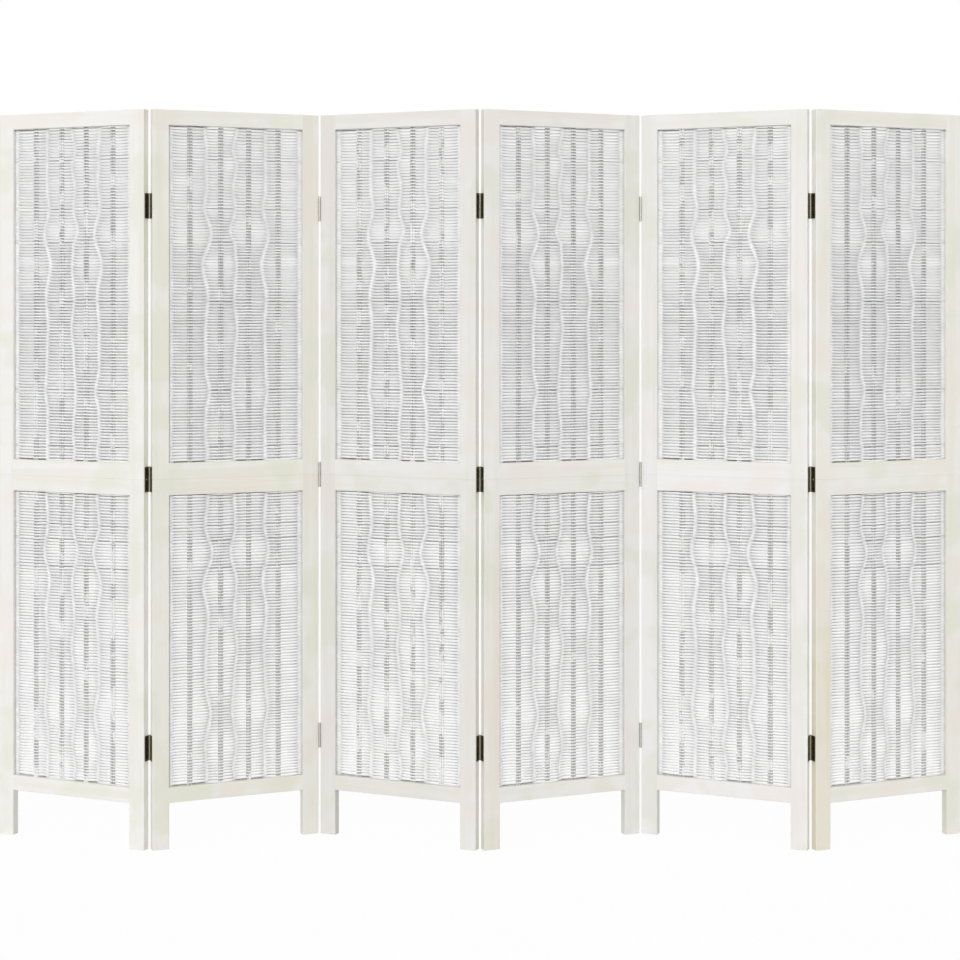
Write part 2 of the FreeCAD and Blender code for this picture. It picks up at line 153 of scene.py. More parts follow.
# Heights in millimetres above the floor where the strands in front of the second and the fourth stake
# stand further apart
OPEN_ROWS = {"upper": (920, 1050, 1258, 1397, 1478, 1587), "lower": (640, 700, 735)}
OPEN_ROW_SPREAD = 0.3         # of a row's height
OPEN_ROW_PAINTED_SHADE = 0.57      # painted shade on the inner side of the strand behind, which lies in shade in the open gap
PAINTED_SHADE_ROWS = 0.15              # share of the other rows with a little painted shade on their inner sides
PAINTED_SHADE_MOST = 0.3               # and how much at most
PAINTED_SHADE_FROM = 0.1               # how far a strand's side faces outwards where painted shade starts
PAINTED_SHADE_FULL = -0.4              # and where the painted shade is full

# Paint of each panel, from left to right: neighbours differ a little in brightness
PANEL_TONES = (1.04, 0.99, 0.95, 0.99, 1.015, 1.02)
PANEL_WARMTHS = (-0.01, 0.03, -0.01, 0.0, -0.03, 0.02)    # share of blue taken away
PAINT = (0.885, 0.875, 0.84)
PAINT_TINTS = (("Cloud", 0.6, (0.83, 0.80, 0.72)), ("Green", 0.65, (0.80, 0.81, 0.70)),
               ("Pink", 0.65, (0.88, 0.82, 0.76)), ("Streak", 0.06, (0.68, 0.62, 0.50)))
STREAK_WIDTH = 7 * MM
STREAK_LENGTH = 190 * MM
TINT_SCALE = 8.0              # patches of tint in a metre, more or less
VALLEY_PAINTED_SHADE = 0.95            # of the stiles at the far joints: painted shade of the valleys between the panels
LOWER_TONE = 0.985            # of the lower halves
SEAM_HEIGHT = 850 * MM
SEAM_SHADE_AND_DIRT = 0.05             # how far painted shade and dirt in the seam between the halves take the paint towards the colour below
SEAM_SHADE_AND_DIRT_COLOUR = (0.25, 0.23, 0.19, 1)
SEAM_FULL = 0.7 * MM          # from the seam's middle
SEAM_END = 1.6 * MM
STAINS = {4: 0.4, 6: 1.0}     # panels whose left stiles are yellowed, most at the foot
STAIN_COLOUR = (0.80, 0.73, 0.57)
STAIN_TOP = 950 * MM
STAIN_FULL = 350 * MM

# White strands and the rods behind them
# Strands range between these two by their own tone and by painted light, lighter where they swell
WICKER_SHADED_TONE = (0.865, 0.865, 0.865, 1)
WICKER_LIT_TONE = (0.985, 0.985, 0.985, 1)
# Colour of the painted shade on the strands' inner sides
WICKER_PAINTED_SHADE = (0.28, 0.28, 0.28, 1)
OWN_TONE_SHARE = 0.3          # of a strand's tone, which is its own. The rest is painted light: lighter where it swells, darker where it thins
FULLNESS_SPAN = 0.16          # to each side of zero, of the noise that says where this is
FIBRE_SIZE = (18 * MM, 0.6 * MM, 0.6 * MM)
FIBRE_COLOUR = (0.70, 0.70, 0.69, 1)
FIBRE_SHARE = 0.2
ROD_LIGHT = (0.60, 0.595, 0.59, 1)
ROD_DARK = (0.47, 0.465, 0.46, 1)
ROD_PAINT = (0.93, 0.93, 0.92, 1)
ROD_STREAK = (1.2 * MM, 1.2 * MM, 30 * MM)
ROD_PATCH = (40 * MM, 40 * MM, 50 * MM)
ROD_PATCH_EDGE = 0.06         # how softly a patch of paint ends
BARE_ROD_LEVEL = 0.72         # of the noise above which paint starts, on a rod that has hardly any
PAINTED_ROD_DROP = 0.35       # and how much lower this is on a rod that is painted all over
ODD_RODS_PAINTED = 0.62       # roughly the share of the odd panels' rods that paint has reached
EVEN_RODS_PAINTED = 0.36

# Hinges, whose two tones are a light and a dark one. At the near joints they are dark, as painted shade
# deep in the gaps, and at the far joints light, as painted reflection of the white room
BRONZE_SHADED_NEAR = ((0.17, 0.15, 0.08, 1), (0.06, 0.05, 0.025, 1))
BRONZE_LIT_FAR = ((0.60, 0.59, 0.55, 1), (0.45, 0.44, 0.40, 1))
BRONZE_RUBBED_AND_HIGHLIT = (0.55, 0.52, 0.43, 1)
BRONZE_ROUGHNESS = 0.42
SCREW_TONES = ((0.035, 0.03, 0.02, 1), (0.015, 0.013, 0.008, 1))
SCREW_RUBBED = (0.12, 0.10, 0.07, 1)
SCREW_ROUGHNESS = 0.45
METALLIC = 0.85
MOTTLE_SCALE = 260.0
SPECK_SCALE = 1400.0
EDGE_WIDTH = 0.4 * MM         # of the rubbed edges
FAR_JOINT_DEPTH = 10 * MM     # behind the middle, from where on a hinge is at a far joint
JOINT_SPACING = 380.129 * MM
RIDGE_SPACING = 2 * JOINT_SPACING     # from one near joint to the next
BARREL_RADIUS = 2.5 * MM
BARREL_HIGHLIGHT_AND_WEAR = 0.6           # how far the barrels are made bright: painted highlight, and wear from handling


def add(tree, kind, inputs=None, **settings):
    """A new node, with its settings, and with values or other nodes' outputs on its inputs."""
    node = tree.nodes.new(kind)
    for name, value in settings.items():
        setattr(node, name, value)
    for key, value in (inputs or {}).items():
        socket = node.inputs[key]
        if isinstance(value, bpy.types.NodeSocket):
            tree.links.new(value, socket)
        else:
            socket.default_value = value
    return node


def calc(tree, operation, *values, clamp=False):
    """The result of a math node."""
    return add(tree, "ShaderNodeMath", dict(enumerate(values)), operation=operation,
               use_clamp=clamp).outputs[0]


def remap(tree, value, low, high, to_low=0.0, to_high=1.0, smooth=False):
    """A value moved from one range to another, and held inside it."""
    kind = "SMOOTHSTEP" if smooth else "LINEAR"
    return add(tree, "ShaderNodeMapRange", {"Value": value, "From Min": low, "From Max": high,
                                            "To Min": to_low, "To Max": to_high},
               interpolation_type=kind).outputs["Result"]


def blend_colours(tree, factor, first, second, how="MIX"):
    """A colour between two colours."""
    mix = add(tree, "ShaderNodeMix", data_type="RGBA", blend_type=how)
    for identifier, value in (("Factor_Float", factor), ("A_Color", first), ("B_Color", second)):
        socket = next(s for s in mix.inputs if s.identifier == identifier)
        if isinstance(value, bpy.types.NodeSocket):
            tree.links.new(value, socket)
        else:
            socket.default_value = value
    return next(s for s in mix.outputs if s.identifier == "Result_Color")


def noise(tree, vector, scale=1.0, detail=2.0, roughness=0.5):
    """The value of a noise texture, from about 0.3 to 0.7."""
    return add(tree, "ShaderNodeTexNoise", {"Vector": vector, "Scale": scale, "Detail": detail,
                                            "Roughness": roughness}).outputs["Fac"]


def sockets(tree, inputs, outputs):
    """Named inputs and outputs of a node group, as (name, kind, default) and (name, kind)."""
    for name, kind, default in inputs:
        socket = tree.interface.new_socket(name, in_out="INPUT", socket_type=kind)
        if default is not None:
            socket.default_value = default
    for name, kind in outputs:
        tree.interface.new_socket(name, in_out="OUTPUT", socket_type=kind)
    return tree.nodes.new("NodeGroupInput").outputs, tree.nodes.new("NodeGroupOutput").inputs


# Weaving

def eased(points, height):
    """The place of a line at a height, eased between the points set for it."""
    low_height, low_place = points[0]
    for high_height, high_place in points[1:]:
        if height <= high_height:
            share = max(0.0, (height - low_height) / (high_height - low_height))
            return low_place + (high_place - low_place) * share * share * (3 - 2 * share)
        low_height, low_place = high_height, high_place
    return low_place


def strand_rows(half, floor, height):
    """A column of points, one for each strand, that carry where it changes faces and how it differs."""
    random = Random(WEAVE_SEED[half])
    count = STRAND_COUNT[half]
    pitch = height / count
    spaces = [1 + ROW_UNEVENNESS * random.uniform(-1, 1) for _ in range(count)]
    open_rows = [2 * int((open_height * MM - floor) / pitch / 2) + 1 for open_height in OPEN_ROWS[half]]
    for row in open_rows:
        spaces[row] += OPEN_ROW_SPREAD
    stretch = height / sum(spaces)
    # Painted shade on each row's inner side: a little on a few rows, more on the open rows, and full on the
    # first and the last rows beside the rails
    bare = [PAINTED_SHADE_MOST * max(0.0, 1 - random.random() / PAINTED_SHADE_ROWS) for _ in range(count)]
    for row in open_rows:
        bare[row] = OPEN_ROW_PAINTED_SHADE
    bare[0] = bare[-1] = 1.0
    values = {"crossing_1": [], "crossing_2": [], "crossing_3": [], "face": [], "girth": [],
              "outer_girth": [], "tone": [], "bare": bare}
    points = []
    bottom = 0.0
    for row, space in enumerate(spaces):
        middle = bottom + space * stretch / 2
        bottom += space * stretch
        points.append((0, 0, middle))
        for line, line_points in enumerate(CROSSINGS[half], 1):
            place = eased(line_points, (floor + middle) / MM) - PANEL_WIDTH_MM / 2
            values[f"crossing_{line}"].append(place * MM)
        face = -1 if row % 2 else 1
        values["face"].append(face)
        girth = eased(GIRTHS[half], (floor + middle) / MM) * FACE_GIRTHS[face]
        values["girth"].append(girth * (1 + GIRTH_UNEVENNESS * random.uniform(-1, 1)))
        values["outer_girth"].append(OUTER_GIRTHS[half][face])
        values["tone"].append(random.random())
    mesh = bpy.data.meshes.new(f"{half} rows")
    mesh.from_pydata(points, [], [])
    for name, numbers in values.items():
        mesh.attributes.new(name, "FLOAT", "POINT").data.foreach_set("value", numbers)
    return mesh


def weave_tree():
    """Geometry nodes that turn a column of points into strands woven in front of and behind the stakes."""
    tree = bpy.data.node_groups.new("woven strands", "GeometryNodeTree")
    given, result = sockets(
        tree,
        [("Rows", "NodeSocketGeometry", None), ("Opening Width", "NodeSocketFloat", OPENING_WIDTH),
         ("Edge Band", "NodeSocketFloat", EDGE_BAND), ("Groove Length", "NodeSocketFloat", GROOVE_LENGTH),
         ("Swing", "NodeSocketFloat", SWING), ("Bow", "NodeSocketFloat", BOW),
         ("Thinning", "NodeSocketFloat", THINNING),
         ("Bow Looseness", "NodeSocketFloat", BOW_LOOSENESS),
         ("Flank Share", "NodeSocketFloat", FLANK_SHARE),
         ("Crossing Band", "NodeSocketFloat", CROSSING_BAND),
         ("Crossing Reach", "NodeSocketFloat", CROSSING_REACH),
         ("Strand Height", "NodeSocketFloat", STRAND_HEIGHT),
         ("Strand Depth", "NodeSocketFloat", STRAND_DEPTH),
         ("Crossing Girth", "NodeSocketFloat", CROSSING_GIRTH),
         ("Stake Girth", "NodeSocketFloat", STAKE_GIRTH),
         ("Edge Girth", "NodeSocketFloat", EDGE_GIRTH),
         ("Looseness", "NodeSocketFloat", LOOSENESS),
         ("Looseness Length", "NodeSocketFloat", LOOSENESS_LENGTH),
         ("Looseness Height", "NodeSocketFloat", LOOSENESS_HEIGHT),
         ("Stake Looseness", "NodeSocketFloat", STAKE_LOOSENESS),
         ("Side Painted Shade", "NodeSocketFloat", 0.0), ("Crossing Painted Shade", "NodeSocketFloat", 0.0),
         ("Points Along", "NodeSocketInt", POINTS_ALONG), ("Crowding", "NodeSocketFloat", CROWDING),
         ("Sides", "NodeSocketInt", STRAND_SIDES), ("Ripple", "NodeSocketFloat", RIPPLE),
         ("Ripple Size", "NodeSocketFloat", RIPPLE_SIZE), ("Finish", "NodeSocketMaterial", None)],
        [("Mat", "NodeSocketGeometry")])

    def attribute(name):
        return add(tree, "GeometryNodeInputNamedAttribute", {"Name": name}).outputs["Attribute"]

    # One strand on each row, at first with its length counted in columns
    line = add(tree, "GeometryNodeCurvePrimitiveLine", {"Start": (-END_SHARE, 0, 0),
                                                        "End": (COLUMNS + END_SHARE, 0, 0)})
    line = add(tree, "GeometryNodeResampleCurve", {"Curve": line.outputs[0],
                                                   "Count": given["Points Along"]})
    strands = add(tree, "GeometryNodeInstanceOnPoints", {"Points": given["Rows"],
                                                         "Instance": line.outputs[0]})
    strands = add(tree, "GeometryNodeRealizeInstances", {"Geometry": strands.outputs[0]})
    position = add(tree, "GeometryNodeInputPosition").outputs[0]
    place = add(tree, "ShaderNodeSeparateXYZ", {"Vector": position})
    counted = place.outputs["X"]
    inside = add(tree, "ShaderNodeClamp", {"Value": counted, "Min": 0.0, "Max": COLUMNS}).outputs[0]
    swell = calc(tree, "SINE", calc(tree, "MULTIPLY", inside, 2 * math.pi))
    closer = calc(tree, "MULTIPLY", swell, calc(tree, "DIVIDE", given["Crowding"], 2 * math.pi))
    column = calc(tree, "SUBTRACT", inside, closer)

    # Across the opening, from one crossing to the next, and into the grooves
    half_width = calc(tree, "SUBTRACT", calc(tree, "MULTIPLY", given["Opening Width"], 0.5),
                      given["Edge Band"])
    bounds = [calc(tree, "MULTIPLY", half_width, -1.0), attribute("crossing_1"),
              attribute("crossing_2"), attribute("crossing_3"), half_width]
    past_edge = calc(tree, "DIVIDE", calc(tree, "SUBTRACT", counted, inside), END_SHARE)
    into_end = calc(tree, "ABSOLUTE", past_edge)
    end_length = calc(tree, "ADD", given["Edge Band"], given["Groove Length"])
    along = calc(tree, "ADD", bounds[0], calc(tree, "MULTIPLY", past_edge, end_length))
    wider = 0.0
    for number, (low, high, usual) in enumerate(zip(bounds, bounds[1:], COLUMN_WIDTHS)):
        width = calc(tree, "SUBTRACT", high, low)
        along = calc(tree, "ADD", along, remap(tree, column, number, number + 1, 0.0, width))
        in_column = calc(tree, "COMPARE", column, number + 0.5, 0.5)
        more = calc(tree, "SUBTRACT", calc(tree, "DIVIDE", width, usual), 1.0)
        wider = calc(tree, "MULTIPLY_ADD", in_column, more, wider)
    flat_place = add(tree, "ShaderNodeCombineXYZ", {"X": along, "Z": place.outputs["Z"]}).outputs[0]

    def drift(length, height, detail):
        """Noise about zero, that changes over a length along the strands and a height up the mat."""
        size = add(tree, "ShaderNodeCombineXYZ", {"X": length, "Y": 1.0, "Z": height}).outputs[0]
        scaled = add(tree, "ShaderNodeVectorMath", {0: flat_place, 1: size}, operation="DIVIDE").outputs[0]
        return calc(tree, "SUBTRACT", noise(tree, scaled, detail=detail), 0.5)

    fullness = drift(given["Looseness Length"], given["Looseness Height"], LOOSENESS_DETAIL)

    # Out to the front or the back: at once to the flank, then gently to the full swing at the stake
    wave = calc(tree, "SINE", calc(tree, "MULTIPLY", column, math.pi))
    near_stake = calc(tree, "ABSOLUTE", wave)
    changed = remap(tree, near_stake, given["Crossing Band"], given["Crossing Reach"], smooth=True)
    reach = add(tree, "ShaderNodeMix", {"Factor": given["Flank Share"],
                                        "A": near_stake, "B": changed})
    face = calc(tree, "MULTIPLY", calc(tree, "SIGN", wave), attribute("face"))
    side = calc(tree, "MULTIPLY", reach.outputs[0], face)
    bow = calc(tree, "MULTIPLY_ADD", wider, given["Bow"], 1.0)
    bow = calc(tree, "SUBTRACT", bow, calc(tree, "MULTIPLY", fullness, given["Bow Looseness"]))
    bow = add(tree, "ShaderNodeClamp", {"Value": bow, "Min": BOW_LEAST, "Max": BOW_MOST}).outputs[0]
    swing = calc(tree, "MULTIPLY", side, calc(tree, "MULTIPLY", bow, given["Swing"]))

    # A slight ripple up and down, and strands that swell and thin from place to place
    ripple = drift(given["Ripple Size"], given["Ripple Size"], RIPPLE_DETAIL)
    height = calc(tree, "ADD", place.outputs["Z"], calc(tree, "MULTIPLY", ripple, given["Ripple"]))
    woven = add(tree, "ShaderNodeCombineXYZ", {"X": along, "Y": swing, "Z": height}).outputs[0]
    loose = calc(tree, "MULTIPLY", fullness, calc(tree, "MULTIPLY", given["Looseness"], 2.0))
    thinner = calc(tree, "SUBTRACT", 1.0, calc(tree, "MULTIPLY", wider, given["Thinning"]))
    from_middle = calc(tree, "ABSOLUTE", calc(tree, "SUBTRACT", column, COLUMNS / 2))
    outer = calc(tree, "GREATER_THAN", from_middle, COLUMNS / 2 - 0.5)
    usual = calc(tree, "MULTIPLY", attribute("girth"), thinner)
    usual = calc(tree, "MULTIPLY", usual, remap(tree, outer, 0.0, 1.0, 1.0, attribute("outer_girth")))
    pulled = calc(tree, "ADD", usual, calc(tree, "MULTIPLY", loose, given["Stake Looseness"]))
    full = remap(tree, near_stake, TIGHT_FROM, TIGHT_AT, calc(tree, "ADD", usual, loose),
                 calc(tree, "MULTIPLY", pulled, given["Stake Girth"]), smooth=True)
    girth_here = remap(tree, near_stake, given["Crossing Band"], given["Crossing Reach"],
                       given["Crossing Girth"], full, smooth=True)
    thinned = remap(tree, into_end, 0.0, EDGE_PLACE, 1.0, given["Edge Girth"])
    girth_here = calc(tree, "MULTIPLY", girth_here, thinned)
    # Painted shade beside a crossing and beside a stile, and at a crossing, where strands lie back in the
    # mat
    beside = calc(tree, "MULTIPLY", changed, remap(tree, near_stake, PAINTED_SHADE_REACH, given["Crossing Reach"]))
    beside = calc(tree, "MAXIMUM", beside, remap(tree, into_end, 0.0, EDGE_PAINTED_SHADE_REACH))
    crossing = calc(tree, "MULTIPLY", calc(tree, "SUBTRACT", 1.0, changed), given["Crossing Painted Shade"])
    painted_recess_shade = calc(tree, "MULTIPLY_ADD", beside, given["Side Painted Shade"], crossing)
    for name, value in (("girth_here", girth_here), ("fullness", fullness), ("side", side), ("painted_recess_shade", painted_recess_shade)):
        strands = add(tree, "GeometryNodeStoreNamedAttribute",
                      {"Geometry": strands.outputs[0], "Name": name, "Value": value},
                      data_type="FLOAT", domain="POINT")
    strands = add(tree, "GeometryNodeSetPosition", {"Geometry": strands.outputs[0], "Position": woven})
    strands = add(tree, "GeometryNodeSetCurveNormal", {"Curve": strands.outputs[0]}, mode="Z_UP")

    # Oval strands, as thick at each place as the girth found for it
    circle = add(tree, "GeometryNodeCurvePrimitiveCircle", {"Resolution": given["Sides"], "Radius": 0.5})
    oval_size = add(tree, "ShaderNodeCombineXYZ", {"X": given["Strand Depth"],
                                                   "Y": given["Strand Height"], "Z": 1.0})
    oval = add(tree, "GeometryNodeTransform", {"Geometry": circle.outputs[0],
                                               "Scale": oval_size.outputs[0]})
    mat = add(tree, "GeometryNodeCurveToMesh", {"Curve": strands.outputs[0],
                                                "Profile Curve": oval.outputs[0],
                                                "Scale": attribute("girth_here"), "Fill Caps": True})
    mat = add(tree, "GeometryNodeStoreNamedAttribute",
              {"Geometry": mat.outputs[0], "Name": "lay", "Value": position},
              data_type="FLOAT_VECTOR", domain="POINT")

    # Painted shade only on the sides that face into the mat, where shade falls between the strands
    normal = add(tree, "GeometryNodeInputNormal").outputs[0]
    facing = add(tree, "ShaderNodeSeparateXYZ", {"Vector": normal})
    outwards = calc(tree, "MULTIPLY", facing.outputs["Y"], attribute("side"))
    painted_shade_here = calc(tree, "MULTIPLY", attribute("bare"), remap(tree, outwards, PAINTED_SHADE_FROM, PAINTED_SHADE_FULL))
    mat = add(tree, "GeometryNodeStoreNamedAttribute",
              {"Geometry": mat.outputs[0], "Name": "painted_shade_here", "Value": painted_shade_here},
              data_type="FLOAT", domain="POINT")
    mat = add(tree, "GeometryNodeSetShadeSmooth", {"Geometry": mat.outputs[0]})
    mat = add(tree, "GeometryNodeRealizeInstances", {"Geometry": mat.outputs[0]})
    mat = add(tree, "GeometryNodeSetMaterial", {"Geometry": mat.outputs[0], "Material": given["Finish"]})
    tree.links.new(mat.outputs[0], result["Mat"])
    return tree


def woven_mesh(half, tree, finish):
    """The strands of an upper or lower mat, centred on the mat's own middle, standing on its bottom."""
    low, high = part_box(f"panel_1_{half}_weave")
    worker = bpy.data.objects.new(f"{half} weaving", strand_rows(half, low.z, high.z - low.z))
    bpy.context.scene.collection.objects.link(worker)
    modifier = worker.modifiers.new("weave", "NODES")
    modifier.node_group = tree
    # The painted shade of this half's strands beside crossings and stiles, and at crossings
    settings = {"Finish": finish, "Side Painted Shade": SIDE_PAINTED_SHADE[half],
                "Crossing Painted Shade": CROSSING_PAINTED_SHADE[half]}
    for item in tree.interface.items_tree:
        if item.in_out == "INPUT" and item.name in settings:
            modifier[item.identifier] = settings[item.name]
    bpy.context.view_layer.update()
    woven = bpy.data.meshes.new_from_object(worker.evaluated_get(bpy.context.evaluated_depsgraph_get()))
    bpy.data.objects.remove(worker)
    return woven


def panel_turn(panel):
    """How a panel's front faces at rest: odd panels come forward to the right, even ones go back."""
    return -REST_TURN if panel % 2 else REST_TURN


def hang_mats(finish):
    """Both mats of every panel, in the places of their solids."""
    tree = weave_tree()
    for half in ("upper", "lower"):
        woven = woven_mesh(half, tree, finish)
        for panel in PANELS:
            node = f"panel_{panel}_{half}_weave"
            low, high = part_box(node)
            middle = (low + high) / 2
            turned_round = math.pi if panel % 2 == 0 else 0.0
            place = (Matrix.Translation((middle.x, middle.y, low.z))
                     @ Matrix.Rotation(panel_turn(panel) + turned_round, 4, "Z"))
            mesh = woven.copy()
            mesh.transform(place)
            piece = bpy.data.objects.new(f"panel_{panel}_{half}_wicker", mesh)
            bpy.context.scene.collection.objects.link(piece)
            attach(piece, f"panel_{panel}")
            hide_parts(node)


# Finishes

def new_material(name):
    """An empty material, with its principled shader and its output."""
    material = bpy.data.materials.new(name)
    material.use_nodes = True
    tree = material.node_tree
    return material, tree, tree.nodes["Principled BSDF"]


def grain_group():
    """Wood grain that shows through paint: streaks, broad clouds, two faint tints and a slight relief."""
    tree = bpy.data.node_groups.new("grain under paint", "ShaderNodeTree")
    given, result = sockets(tree, [("Along Grain", "NodeSocketVector", None),
                                   ("Place", "NodeSocketVector", None)],
                            [("Streak", "NodeSocketFloat"), ("Cloud", "NodeSocketFloat"),
                             ("Green", "NodeSocketFloat"), ("Pink", "NodeSocketFloat"),
                             ("Relief", "NodeSocketFloat")])
    fine = noise(tree, given["Along Grain"], 1.0, 4.0, 0.6)
    coarse = noise(tree, given["Along Grain"], 0.25, 2.0, 0.5)
    tint = noise(tree, given["Place"], TINT_SCALE, 2.0, 0.5)
    tree.links.new(remap(tree, fine, 0.45, 0.7), result["Streak"])
    tree.links.new(remap(tree, coarse, 0.42, 0.68, smooth=True), result["Cloud"])
    tree.links.new(remap(tree, tint, 0.52, 0.64, smooth=True), result["Green"])
    tree.links.new(remap(tree, tint, 0.48, 0.36, smooth=True), result["Pink"])
    tree.links.new(fine, result["Relief"])
    return tree


def grain_vector(tree, turn, size):
    """Object coordinates along a panel, in units of a grain streak's size."""
    coordinates = add(tree, "ShaderNodeTexCoord").outputs["Object"]
    return add(tree, "ShaderNodeMapping", {"Vector": coordinates, "Rotation": (0, 0, turn),
                                           "Scale": size}, vector_type="TEXTURE").outputs[0]


def painted_wood(name, grain, turn, streak, tone, warmth, stain=0.0):
    """Ivory paint on wood whose grain still shows faintly, with painted shade and dirt in the seam at mid
    height.
    """
    def shade(red, green, blue):
        return red * tone, green * tone, blue * tone * (1 - warmth), 1

    material, tree, shader = new_material(name)
    wood = add(tree, "ShaderNodeGroup", node_tree=grain)
    tree.links.new(grain_vector(tree, turn, streak), wood.inputs["Along Grain"])
    coordinates = add(tree, "ShaderNodeTexCoord").outputs["Object"]
    tree.links.new(coordinates, wood.inputs["Place"])
    height = add(tree, "ShaderNodeSeparateXYZ", {"Vector": coordinates}).outputs["Z"]
    colour = shade(*PAINT)
    for output, share, tint in PAINT_TINTS:
        amount = calc(tree, "MULTIPLY", wood.outputs[output], share)
        colour = blend_colours(tree, amount, colour, shade(*tint))
    yellowed = remap(tree, height, STAIN_TOP, STAIN_FULL, 0.0, stain)
    uneven = remap(tree, wood.outputs["Cloud"], 0, 1, 0.5, 1.0)
    colour = blend_colours(tree, calc(tree, "MULTIPLY", yellowed, uneven), colour, shade(*STAIN_COLOUR))
    lower = calc(tree, "LESS_THAN", height, SEAM_HEIGHT)
    colour = blend_colours(tree, lower, colour, (LOWER_TONE, LOWER_TONE, LOWER_TONE, 1), "MULTIPLY")
    # Painted shade and dirt in the seam between the halves
    from_seam = calc(tree, "ABSOLUTE", calc(tree, "SUBTRACT", height, SEAM_HEIGHT))
    seam_shade_and_dirt = remap(tree, from_seam, SEAM_FULL, SEAM_END, SEAM_SHADE_AND_DIRT, 0.0)
    colour = blend_colours(tree, seam_shade_and_dirt, colour, SEAM_SHADE_AND_DIRT_COLOUR)
    tree.links.new(colour, shader.inputs["Base Color"])
    roughness = remap(tree, wood.outputs["Streak"], 0, 1, 0.46, 0.6)
    tree.links.new(roughness, shader.inputs["Roughness"])
    bump = add(tree, "ShaderNodeBump", {"Strength": 0.15, "Distance": 0.2 * MM,
                                        "Height": wood.outputs["Relief"]})
    tree.links.new(bump.outputs[0], shader.inputs["Normal"])
    return material


def white_wicker():
    """White strands, each of its own tone, with painted light where they swell, painted shade on their
    inner sides and beside crossings and stiles, and fine fibres along them.
    """
    material, tree, shader = new_material("white wicker")
    lay = add(tree, "ShaderNodeAttribute", attribute_name="lay").outputs["Vector"]
    tone = add(tree, "ShaderNodeAttribute", attribute_name="tone").outputs["Fac"]
    stretched = add(tree, "ShaderNodeMapping", {"Vector": lay, "Scale": FIBRE_SIZE},
                    vector_type="TEXTURE").outputs[0]
    fibre = noise(tree, stretched, 1.0, 3.0, 0.6)
    fullness = add(tree, "ShaderNodeAttribute", attribute_name="fullness").outputs["Fac"]
    bare = add(tree, "ShaderNodeAttribute", attribute_name="painted_shade_here").outputs["Fac"]
    # Painted light: lighter where a strand swells, darker where it thins, on top of its own tone
    swollen_painted_light = remap(tree, fullness, -FULLNESS_SPAN, FULLNESS_SPAN)
    shade = calc(tree, "ADD", calc(tree, "MULTIPLY", tone, OWN_TONE_SHARE),
                 calc(tree, "MULTIPLY", swollen_painted_light, 1 - OWN_TONE_SHARE))
    colour = blend_colours(tree, shade, WICKER_SHADED_TONE, WICKER_LIT_TONE)
    # Painted shade beside crossings and stiles, and at crossings: darker towards black
    painted_recess_shade = add(tree, "ShaderNodeAttribute", attribute_name="painted_recess_shade").outputs["Fac"]
    colour = blend_colours(tree, painted_recess_shade, colour, (0, 0, 0, 1))
    # Painted shade on the strands' inner sides
    colour = blend_colours(tree, bare, colour, WICKER_PAINTED_SHADE)
    fibres = calc(tree, "MULTIPLY", remap(tree, fibre, 0.5, 0.72), FIBRE_SHARE)
    colour = blend_colours(tree, fibres, colour, FIBRE_COLOUR)
    tree.links.new(colour, shader.inputs["Base Color"])
    tree.links.new(remap(tree, fibre, 0.3, 0.7, 0.5, 0.68), shader.inputs["Roughness"])
    bump = add(tree, "ShaderNodeBump", {"Strength": 0.4, "Distance": 0.15 * MM, "Height": fibre})
    tree.links.new(bump.outputs[0], shader.inputs["Normal"])
    return material


def stake_wood(name, grain, turn, painted_share):
    """Bare greyed rods that the white paint has reached only in patches."""
    material, tree, shader = new_material(name)
    wood = add(tree, "ShaderNodeGroup", node_tree=grain)
    tree.links.new(grain_vector(tree, turn, ROD_STREAK), wood.inputs["Along Grain"])
    bare = blend_colours(tree, wood.outputs["Streak"], ROD_LIGHT, ROD_DARK)
    patches = noise(tree, grain_vector(tree, turn, ROD_PATCH), 1.0, 3.0, 0.55)
    edge = BARE_ROD_LEVEL - PAINTED_ROD_DROP * painted_share
    paint = remap(tree, patches, edge, edge + ROD_PATCH_EDGE, smooth=True)
    colour = blend_colours(tree, paint, bare, ROD_PAINT)
    tree.links.new(colour, shader.inputs["Base Color"])
    tree.links.new(remap(tree, wood.outputs["Streak"], 0, 1, 0.6, 0.8), shader.inputs["Roughness"])
    bump = add(tree, "ShaderNodeBump", {"Strength": 0.4, "Distance": 0.2 * MM,
                                        "Height": wood.outputs["Relief"]})
    tree.links.new(bump.outputs[0], shader.inputs["Normal"])
    return material


def tarnish_group():
    """Uneven tarnish on metal, and edges where handling has rubbed it off."""
    tree = bpy.data.node_groups.new("tarnish", "ShaderNodeTree")
    given, result = sockets(tree, [("Vector", "NodeSocketVector", None),
                                   ("Edge Width", "NodeSocketFloat", EDGE_WIDTH)],
                            [("Tarnish", "NodeSocketFloat"), ("Rubbed", "NodeSocketFloat"),
                             ("Relief", "NodeSocketFloat")])
    mottle = noise(tree, given["Vector"], MOTTLE_SCALE, 4.0, 0.6)
    speck = noise(tree, given["Vector"], SPECK_SCALE, 2.0, 0.5)
    rounded = add(tree, "ShaderNodeBevel", {"Radius": given["Edge Width"]}, samples=6).outputs[0]
    flat = add(tree, "ShaderNodeNewGeometry").outputs["Normal"]
    agree = add(tree, "ShaderNodeVectorMath", {0: rounded, 1: flat}, operation="DOT_PRODUCT")
    edge = remap(tree, agree.outputs["Value"], 0.98, 0.75)
    rubbed = calc(tree, "MULTIPLY", edge, remap(tree, mottle, 0.35, 0.6))
    tree.links.new(remap(tree, mottle, 0.35, 0.68), result["Tarnish"])
    tree.links.new(rubbed, result["Rubbed"])
    tree.links.new(speck, result["Relief"])
    return tree


